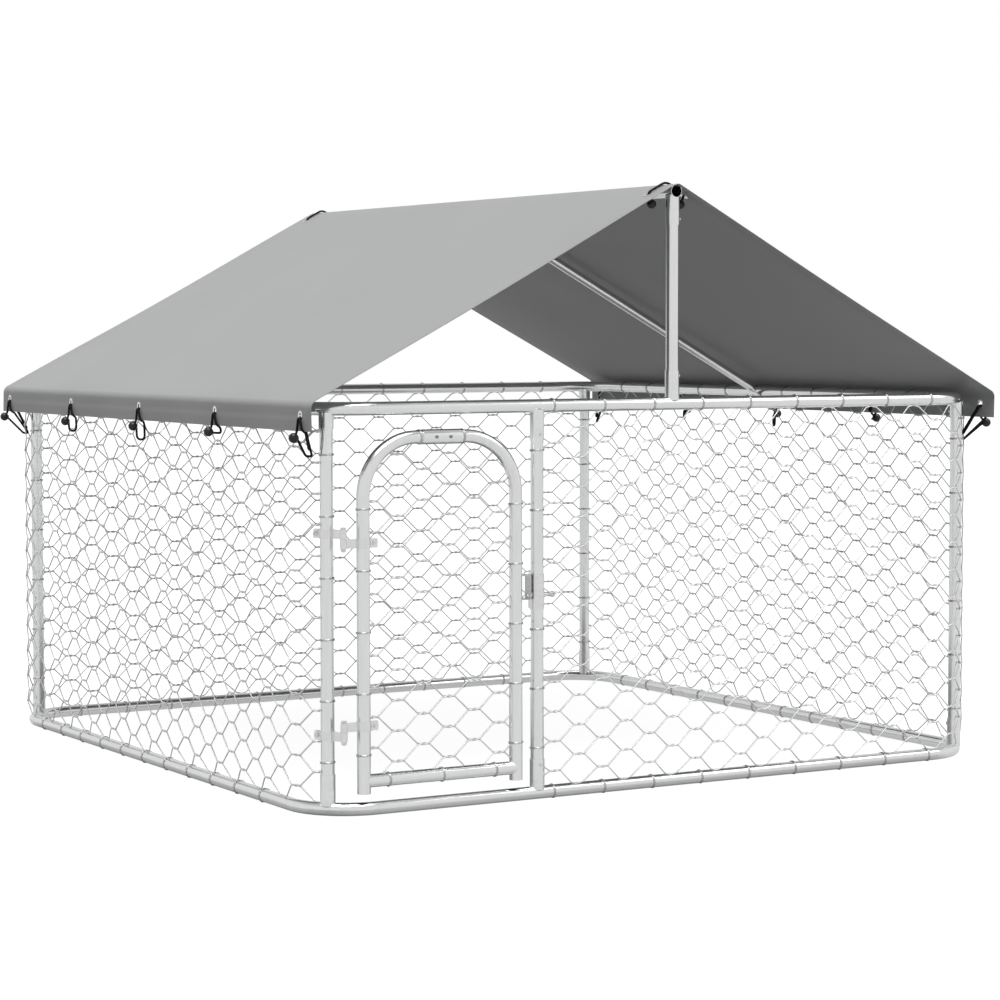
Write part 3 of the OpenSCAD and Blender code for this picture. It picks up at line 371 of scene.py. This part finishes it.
# The tie wire is a darker grey than the netting wire: painted shade that stands in for the dark edges of the
# coils.
tie_metal = zinc_metal("tie_wire", (300, 300, 300), (0.66, 0.66, 0.66), (0.48, 0.48, 0.48), 0.22, 0.2)
ties.data.materials.append(tie_metal)
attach(ties, "frame")
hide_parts("wall_ties")

# The door's ties.
# The same wire, round the stiles, the bottom rail and the arch at both ends of the sleeve.
door_mid_x, sleeve_tie, strike_low, strike_high = (hinge_stile_x + latch_stile_x) / 2, 0.0585, 0.480, 0.560
coils = []
for x in (hinge_stile_x, latch_stile_x):
    coils += [tie_coil((x, door_y, z), "z") for z in tie_places(door_rail_z + tube_d, arch_z - arch_bend)
              if not (x == latch_stile_x and strike_low < z < strike_high)]
coils += [tie_coil((x, door_y, door_rail_z), "x")
          for x in tie_places(hinge_stile_x + tube_d, latch_stile_x - tube_d)]
coils += [tie_coil((door_mid_x + side * sleeve_tie - tie_w / 2, door_y, arch_z), "x") for side in (-1, 1)]
door_ties = wires_to_mesh("door_tie_wires", coils, tie_wire_r, 6)
door_ties.data.materials.append(tie_metal)
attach(door_ties, "door")
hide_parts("door_ties")

# The tarpaulin.
# A coated woven sheet, grey, with a folded and welded hem all round. It is laid over the ridge pole, drawn
# tight down both slopes and bent over the eaves into short flaps.
tarp_low, tarp_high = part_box("tarpaulin")
sheet_t, solid_half, hem_w, hem_step, hem_lift = 0.001, 0.00075, 0.03, 0.0008, 0.0002
sheet_mid, eave_r, slope = 0.01705, 0.02075, math.radians(27.647)
ridge_z, flap_z, tarp_half = tarp_high[2] - solid_half - sheet_mid, tarp_low[2], tarp_high[1]
eave_x = tarp_high[0] - solid_half - eave_r
eave_z = ridge_z + (sheet_mid - eave_r - eave_x * math.sin(slope)) / math.cos(slope)
slope_from = Vector((sheet_mid * math.sin(slope), ridge_z + sheet_mid * math.cos(slope)))
slope_to = Vector((eave_x + eave_r * math.sin(slope), eave_z + eave_r * math.cos(slope)))
slope_l = (slope_to - slope_from).length
ridge_arc = sheet_mid * slope
eave_arc = eave_r * (math.pi / 2 - slope)
tarp_reach = ridge_arc + slope_l + eave_arc + eave_z - flap_z


def on_tarp(s, y):
    side = -1 if s < 0 else 1
    s = abs(s)
    if s < ridge_arc:
        a = s / sheet_mid
        return Vector((side * sheet_mid * math.sin(a), y, ridge_z + sheet_mid * math.cos(a))), \
            Vector((side * math.sin(a), 0, math.cos(a)))
    s -= ridge_arc
    if s < slope_l:
        at = slope_from.lerp(slope_to, s / slope_l)
        return Vector((side * at[0], y, at[1])), Vector((side * math.sin(slope), 0, math.cos(slope)))
    s -= slope_l
    if s < eave_arc:
        a = slope + s / eave_r
        return Vector((side * (eave_x + eave_r * math.sin(a)), y, eave_z + eave_r * math.cos(a))), \
            Vector((side * math.sin(a), 0, math.cos(a)))
    return Vector((side * (eave_x + eave_r), y, eave_z - (s - eave_arc))), Vector((side, 0, 0))


def spread(low, high, count):
    return [low + (high - low) * i / count for i in range(count + 1)]


half_steps = spread(0, ridge_arc, 3)[:-1] + spread(ridge_arc, ridge_arc + slope_l, 28)[:-1]
half_steps += spread(ridge_arc + slope_l, ridge_arc + slope_l + eave_arc, 5)[:-1]
flap_top = ridge_arc + slope_l + eave_arc
half_steps += [flap_top, flap_top + 0.012, tarp_reach - hem_w - hem_step, tarp_reach - hem_w]
half_steps += spread(tarp_reach - hem_w, tarp_reach, 3)[1:]
across = [-s for s in reversed(half_steps[1:])] + half_steps
field = tarp_half - hem_w - hem_step
along = spread(-tarp_half, -tarp_half + hem_w, 2) + [-field] + spread(-field, field, 56)[1:]
along += [tarp_half - hem_w] + spread(tarp_half - hem_w, tarp_half, 2)[1:]
eyelet_end, eyelet_pitch, eyelet_rise, eyelet_from_ridge = 0.954, 0.477, 0.037, 0.052
sag_h, sag_span, fold_h, wave_h = 0.0035, 1.02, 0.0009, 0.0016

bpy.ops.object.select_all(action="DESELECT")
bpy.ops.mesh.primitive_grid_add(x_subdivisions=len(across) - 1, y_subdivisions=len(along) - 1, size=2)
tarp = bpy.context.object
tarp.name = "tarp"
flat_uv = tarp.data.uv_layers.active.data
for loop in tarp.data.loops:
    i, j = loop.vertex_index % len(across), loop.vertex_index // len(across)
    flat_uv[loop.index].uv = (across[i], along[j])
for vertex in tarp.data.vertices:
    s, y = across[vertex.index % len(across)], along[vertex.index // len(across)]
    place, normal = on_tarp(s, y)
    down = min(max((abs(s) - ridge_arc) / slope_l, 0), 1)
    end = tarp_half - abs(y)
    in_hem = end < hem_w + 1e-6 or tarp_reach - abs(s) < hem_w + 1e-6
    sag = sag_h * math.sin(math.pi * down) ** 2 * (0.5 + 0.5 * math.cos(2 * math.pi * y / sag_span))
    fold = fold_h * math.sin(y * 13 + 2 * math.sin(s * 3)) * math.sin(math.pi * down) ** 2
    flap = max(abs(s) - flap_top, 0) / (tarp_reach - flap_top)
    wave = wave_h * flap * math.sin(y * 2 * math.pi / eyelet_pitch)
    vertex.co = place + normal * (fold - sag + wave + (hem_lift if in_hem else 0))
thick = tarp.modifiers.new("thickness", "SOLIDIFY")
thick.thickness = sheet_t
thick.offset = 0
bpy.ops.object.modifier_apply(modifier="thickness")
bpy.ops.object.shade_smooth_by_angle(angle=math.radians(40))

eyelet_ys = [-eyelet_end + eyelet_pitch * i for i in range(5)]
ridge_ys = (-eyelet_end, eyelet_end)
eyelet_hole_r, punch_l = 0.0066, 0.012
eyelet_spots = [on_tarp(side * (tarp_reach - eyelet_rise), y) for side in (-1, 1) for y in eyelet_ys]
eyelet_spots += [on_tarp(side * (ridge_arc + eyelet_from_ridge), y) for side in (-1, 1) for y in ridge_ys]
punches = []
for place, normal in eyelet_spots:
    bpy.ops.mesh.primitive_cylinder_add(vertices=20, radius=eyelet_hole_r, depth=punch_l, location=place,
                                        rotation=normal.to_track_quat("Z", "Y").to_euler())
    punches.append(bpy.context.object)
bpy.ops.object.select_all(action="DESELECT")
for punch in punches:
    punch.select_set(True)
bpy.context.view_layer.objects.active = punches[0]
bpy.ops.object.join()
punch = bpy.context.object
bpy.ops.object.select_all(action="DESELECT")
tarp.select_set(True)
bpy.context.view_layer.objects.active = tarp
holes = tarp.modifiers.new("eyelet_holes", "BOOLEAN")
holes.object = punch
holes.solver = "EXACT"
bpy.ops.object.modifier_apply(modifier="eyelet_holes")
bpy.data.objects.remove(punch)

tarp_cloth, tree, shader, link = new_material("tarp_cloth")
shader.inputs["Roughness"].default_value = 0.55
shader.inputs["Sheen Weight"].default_value = 0.1
cut = add_node(tree, "ShaderNodeUVMap", uv_map=tarp.data.uv_layers.active.name)
split = add_node(tree, "ShaderNodeSeparateXYZ")
link(cut.outputs["UV"], split.inputs["Vector"])
tapes, tape_w = [], 0.0024
for socket in ("X", "Y"):
    tape = add_node(tree, "ShaderNodeMath", operation="MULTIPLY")
    tape.inputs[1].default_value = 2 * math.pi / tape_w
    ridge = add_node(tree, "ShaderNodeMath", operation="SINE")
    link(split.outputs[socket], tape.inputs[0])
    link(tape.outputs[0], ridge.inputs[0])
    tapes.append(ridge)
weave = add_node(tree, "ShaderNodeMath", operation="MULTIPLY")
link(tapes[0].outputs[0], weave.inputs[0])
link(tapes[1].outputs[0], weave.inputs[1])
cloud = add_node(tree, "ShaderNodeTexNoise")
cloud.inputs["Scale"].default_value = 2.2
cloud.inputs["Detail"].default_value = 6
link(cut.outputs["UV"], cloud.inputs["Vector"])
tint = add_node(tree, "ShaderNodeMix", data_type="RGBA")
tint.inputs[6].default_value = (0.35, 0.353, 0.355, 1)
tint.inputs[7].default_value = (0.405, 0.408, 0.41, 1)
link(cloud.outputs["Fac"], tint.inputs["Factor"])
link(tint.outputs[2], shader.inputs["Base Color"])
lift = add_node(tree, "ShaderNodeBump")
lift.inputs["Strength"].default_value = 0.12
lift.inputs["Distance"].default_value = 0.0003
link(weave.outputs[0], lift.inputs["Height"])
link(lift.outputs["Normal"], shader.inputs["Normal"])
tarp.data.materials.append(tarp_cloth)
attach(tarp, "frame")
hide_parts("tarpaulin")

# The eyelets.
# Pressed rings of bright plated metal, clinched through the sheet along both flaps and beside the ridge.
eyelet_metal = zinc_metal("eyelet_metal", (500, 500, 500), (0.88, 0.88, 0.87), (0.76, 0.76, 0.75), 0.06, 0.1)
dress(eyelet_metal, "eyelets_left", "eyelets_right", "eyelets_ridge")

# The elastic cords.
# Black covered elastic. At the eaves each runs from its ball round a wire of the netting, up the flap,
# through the eyelet to a bight inside, and out and down to the ball again. Over each end of the ridge one
# cord runs through both eyelets.
cord_r, eave_bend, ridge_bend = 0.003, 0.014, 0.025


def rounded(points, r, steps=7):
    path = [Vector(points[0])]
    for a, b, c in zip(points, points[1:], points[2:]):
        a, b, c = Vector(a), Vector(b), Vector(c)
        back, ahead = (a - b).normalized(), (c - b).normalized()
        half_turn = back.angle(ahead) / 2
        if half_turn > math.radians(89):
            path.append(b)
            continue
        reach = min(r / math.tan(half_turn), (a - b).length / 2, (c - b).length / 2)
        for i in range(steps + 1):
            t = i / steps
            path.append((b + back * reach).lerp(b, t).lerp(b.lerp(b + ahead * reach, t), t))
    return path + [Vector(points[-1])]


ball_x, ball_z, ball_r, ball_mouth, twin = 1.0316, 0.893, 0.012, 0.004, 0.00245
flap_out, flap_in, loop_top, strand_y, bight_y = 1.01475, 1.0098, 0.9388, 0.0028, 0.003
strand_out, strand_in = flap_out + cord_r, flap_in - cord_r
hook_zs = [0.848, 0.890, 0.858, 0.866, 0.845]
corner_hook_x, corner_hook_y, corner_bight = 0.976, 0.03, 0.016
hook_back_y, flap_back_y, flap_near_y = -0.021, -0.017, 0.009
paths = []
for side in (-1, 1):
    for i, y in enumerate(eyelet_ys):
        hook_z = hook_zs[i]
        if i in (0, 4):
            hook_x, hook_y = corner_hook_x, -corner_hook_y * math.copysign(1, y)
            hook_near = (hook_x + 0.007, hook_y + 0.005, hook_z)
            hook_back = (hook_x - 0.004, hook_y - 0.006, hook_z)
            bight_z = hook_z + corner_bight
        else:
            hook_x, hook_y = strand_in - 0.004, -0.008
            hook_near, hook_back = (strand_out + 0.001, 0.004, hook_z), (strand_in, hook_back_y, hook_z)
            bight_z = flap_z + 0.004
        route = [(ball_x - ball_mouth, 0, ball_z - twin), (strand_out + 0.002, 0.004, ball_z - 0.003),
                 hook_near, hook_back, (strand_in + 0.002, hook_back_y, flap_z - 0.004),
                 (strand_out, flap_back_y, flap_z + 0.002),
                 (strand_out, -strand_y, loop_top), (strand_in, -strand_y, loop_top),
                 (hook_x, hook_y - bight_y, bight_z), (hook_x, hook_y + bight_y, bight_z),
                 (strand_in, strand_y, loop_top), (strand_out, strand_y, loop_top),
                 (strand_out + 0.001, flap_near_y, flap_z - 0.001), (ball_x - ball_mouth, 0, ball_z + twin)]
        paths.append([(side * v[0], y + v[1], v[2]) for v in rounded(route, eave_bend)])
ridge_lift, ball_drop = 0.0221, 0.0077


def by_ridge(lift):
    return (eyelet_from_ridge * math.cos(slope) + lift * math.sin(slope),
            ridge_z - eyelet_from_ridge * math.sin(slope) + lift * math.cos(slope))


over, under = by_ridge(ridge_lift), by_ridge(-ball_drop)
peak = (0, ridge_z + ridge_lift / math.cos(slope))
for y in ridge_ys:
    route = [(x, y, z) for x, z in ((-under[0], under[1]), (-over[0], over[1]), peak, over, under)]
    paths.append(rounded(route, ridge_bend))
cords = wires_to_mesh("ball_cords", paths, cord_r, 10)

black_cord, tree, shader, link = new_material("black_cord")
shader.inputs["Roughness"].default_value = 0.7
shader.inputs["Specular IOR Level"].default_value = 0.2
place = add_node(tree, "ShaderNodeTexCoord")
braid = add_node(tree, "ShaderNodeTexVoronoi")
braid.inputs["Scale"].default_value = 900
link(place.outputs["Object"], braid.inputs["Vector"])
tint = add_node(tree, "ShaderNodeMix", data_type="RGBA")
tint.inputs[6].default_value = (0.002, 0.002, 0.002, 1)
tint.inputs[7].default_value = (0.006, 0.006, 0.006, 1)
link(braid.outputs["Distance"], tint.inputs["Factor"])
link(tint.outputs[2], shader.inputs["Base Color"])
lift = add_node(tree, "ShaderNodeBump")
lift.inputs["Strength"].default_value = 0.5
lift.inputs["Distance"].default_value = 0.0004
link(braid.outputs["Distance"], lift.inputs["Height"])
link(lift.outputs["Normal"], shader.inputs["Normal"])
cords.data.materials.append(black_cord)
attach(cords, "frame")
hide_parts("cords_left", "cords_right", "cords_ridge")

# The balls.
# Moulded black plastic balls in two halves, with a short mouth where the knotted cord goes in.
black_ball, tree, shader, link = new_material("black_ball")
shader.inputs["Coat Weight"].default_value = 0.1
shader.inputs["Specular IOR Level"].default_value = 0.35
place = add_node(tree, "ShaderNodeTexCoord")
scuff = add_node(tree, "ShaderNodeTexNoise")
scuff.inputs["Scale"].default_value = 120
scuff.inputs["Detail"].default_value = 6
link(place.outputs["Object"], scuff.inputs["Vector"])
tint = add_node(tree, "ShaderNodeMix", data_type="RGBA")
tint.inputs[6].default_value = (0.006, 0.006, 0.007, 1)
tint.inputs[7].default_value = (0.022, 0.022, 0.023, 1)
link(scuff.outputs["Fac"], tint.inputs["Factor"])
link(tint.outputs[2], shader.inputs["Base Color"])
dull = add_node(tree, "ShaderNodeMapRange")
dull.inputs["To Min"].default_value = 0.22
dull.inputs["To Max"].default_value = 0.42
link(scuff.outputs["Fac"], dull.inputs["Value"])
link(dull.outputs["Result"], shader.inputs["Roughness"])

mouth_share, mouth_h, mouth_wall, mouth_deep = 0.9, 0.0008, 0.0009, 0.003
ball_spots = [(Vector((side * ball_x, y, ball_z)), Vector((-side, 0, 0)))
              for side in (-1, 1) for y in eyelet_ys]
ball_spots += [(Vector((side * under[0], y, under[1])), Vector((side * math.sin(slope), 0, math.cos(slope))))
               for side in (-1, 1) for y in ridge_ys]
made = []
for place, mouth in ball_spots:
    bpy.ops.object.select_all(action="DESELECT")
    bpy.ops.mesh.primitive_uv_sphere_add(segments=24, ring_count=16, radius=ball_r)
    ball = bpy.context.object
    bpy.ops.object.mode_set(mode="EDIT")
    bpy.ops.mesh.select_all(action="DESELECT")
    bpy.ops.object.mode_set(mode="OBJECT")
    for face in ball.data.polygons:
        face.select = face.center.z > ball_r * mouth_share
    bpy.ops.object.mode_set(mode="EDIT")
    bpy.ops.mesh.extrude_region_move(TRANSFORM_OT_translate={"value": (0, 0, mouth_h)})
    bpy.ops.mesh.inset(thickness=mouth_wall)
    bpy.ops.mesh.extrude_region_move(TRANSFORM_OT_translate={"value": (0, 0, -mouth_deep)})
    bpy.ops.object.mode_set(mode="OBJECT")
    ball.rotation_euler = mouth.to_track_quat("Z", "Y").to_euler()
    ball.location = place
    bpy.ops.object.transform_apply()
    made.append(ball)
bpy.ops.object.select_all(action="DESELECT")
for ball in made:
    ball.select_set(True)
bpy.context.view_layer.objects.active = made[0]
bpy.ops.object.join()
balls = bpy.context.object
balls.name = "balls"
bpy.ops.object.shade_smooth_by_angle(angle=math.radians(35))
balls.data.materials.append(black_ball)
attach(balls, "frame")
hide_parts("cord_balls")

# The studio.
# A plain white floor under an even white sky, with a broad sun almost overhead and a soft lamp in front on
# the right. In reflections the floor is darker under the run, as the run would shade it.
bpy.ops.object.select_all(action="DESELECT")
shade_shift, shade_from, shade_to = 0.09, 0.86, 1.02
bpy.ops.mesh.primitive_plane_add(size=60, location=(0, 0, -0.0005))
floor = bpy.context.object
floor.name = "floor"
white, tree, paper, link = new_material("white_floor")
out = tree.nodes["Material Output"]
paper.inputs["Base Color"].default_value = (0.22, 0.22, 0.22, 1)
paper.inputs["Roughness"].default_value = 0.9
glow = add_node(tree, "ShaderNodeEmission")
rays = add_node(tree, "ShaderNodeLightPath")
seen = add_node(tree, "ShaderNodeMath", operation="MAXIMUM")
link(rays.outputs["Is Camera Ray"], seen.inputs[0])
link(rays.outputs["Is Transmission Ray"], seen.inputs[1])
shown = add_node(tree, "ShaderNodeMath", operation="MULTIPLY")
shown.inputs[1].default_value = 0.91
link(seen.outputs[0], shown.inputs[0])
place = add_node(tree, "ShaderNodeTexCoord")
forward = add_node(tree, "ShaderNodeVectorMath", operation="ADD")
forward.inputs[1].default_value = (shade_shift, shade_shift, 0)
link(place.outputs["Object"], forward.inputs[0])
away = add_node(tree, "ShaderNodeVectorMath", operation="ABSOLUTE")
link(forward.outputs["Vector"], away.inputs[0])
sides = add_node(tree, "ShaderNodeSeparateXYZ")
link(away.outputs["Vector"], sides.inputs["Vector"])
reach = add_node(tree, "ShaderNodeMath", operation="MAXIMUM")
link(sides.outputs["X"], reach.inputs[0])
link(sides.outputs["Y"], reach.inputs[1])
shade = add_node(tree, "ShaderNodeMapRange", interpolation_type="SMOOTHSTEP")
shade.inputs["From Min"].default_value = shade_from
shade.inputs["From Max"].default_value = shade_to
shade.inputs["To Min"].default_value = 0.14
shade.inputs["To Max"].default_value = 0.46
link(reach.outputs[0], shade.inputs["Value"])
mirrored = add_node(tree, "ShaderNodeMath", operation="MULTIPLY_ADD")
link(rays.outputs["Is Glossy Ray"], mirrored.inputs[0])
link(shade.outputs["Result"], mirrored.inputs[1])
link(shown.outputs[0], mirrored.inputs[2])
link(mirrored.outputs[0], glow.inputs["Strength"])
both = add_node(tree, "ShaderNodeAddShader")
link(paper.outputs[0], both.inputs[0])
link(glow.outputs[0], both.inputs[1])
link(both.outputs[0], out.inputs["Surface"])
floor.data.materials.append(white)

world = bpy.data.worlds.new("studio")
bpy.context.scene.world = world
world.use_nodes = True
tree = world.node_tree
link = tree.links.new
sky = tree.nodes["Background"]
sky.inputs["Color"].default_value = (1, 1, 1, 1)
rays = add_node(tree, "ShaderNodeLightPath")
look = add_node(tree, "ShaderNodeTexCoord")
height = add_node(tree, "ShaderNodeSeparateXYZ")
link(look.outputs["Generated"], height.inputs["Vector"])
room = add_node(tree, "ShaderNodeMapRange", interpolation_type="SMOOTHSTEP")
room.inputs["From Min"].default_value = 0.5
room.inputs["From Max"].default_value = 1.0
room.inputs["To Min"].default_value = 0.8
room.inputs["To Max"].default_value = 0.3
link(height.outputs["Z"], room.inputs["Value"])
mirrored = add_node(tree, "ShaderNodeMath", operation="MAXIMUM")
link(rays.outputs["Is Glossy Ray"], mirrored.inputs[0])
link(rays.outputs["Is Transmission Ray"], mirrored.inputs[1])
lit = add_node(tree, "ShaderNodeMix", data_type="FLOAT")
lit.inputs["A"].default_value = 0.2
link(mirrored.outputs[0], lit.inputs["Factor"])
link(room.outputs["Result"], lit.inputs["B"])
shown = add_node(tree, "ShaderNodeMix", data_type="FLOAT")
shown.inputs["B"].default_value = 1.0
link(rays.outputs["Is Camera Ray"], shown.inputs["Factor"])
link(lit.outputs["Result"], shown.inputs["A"])
link(shown.outputs["Result"], sky.inputs["Strength"])

towards_sun = Vector((-0.08, -0.15, 0.95))
bpy.ops.object.light_add(type="SUN", location=towards_sun * 6,
                         rotation=towards_sun.to_track_quat("Z", "Y").to_euler())
sun = bpy.context.object
sun.data.angle = math.radians(50)
sun.data.energy = 2.95
bpy.ops.object.light_add(type="AREA", location=(3.5, -3.5, 4.0),
                         rotation=(math.radians(50), 0, math.radians(45)))
fill = bpy.context.object
fill.data.size = 2.0
fill.data.energy = 40
bpy.context.scene.view_settings.view_transform = "Standard"
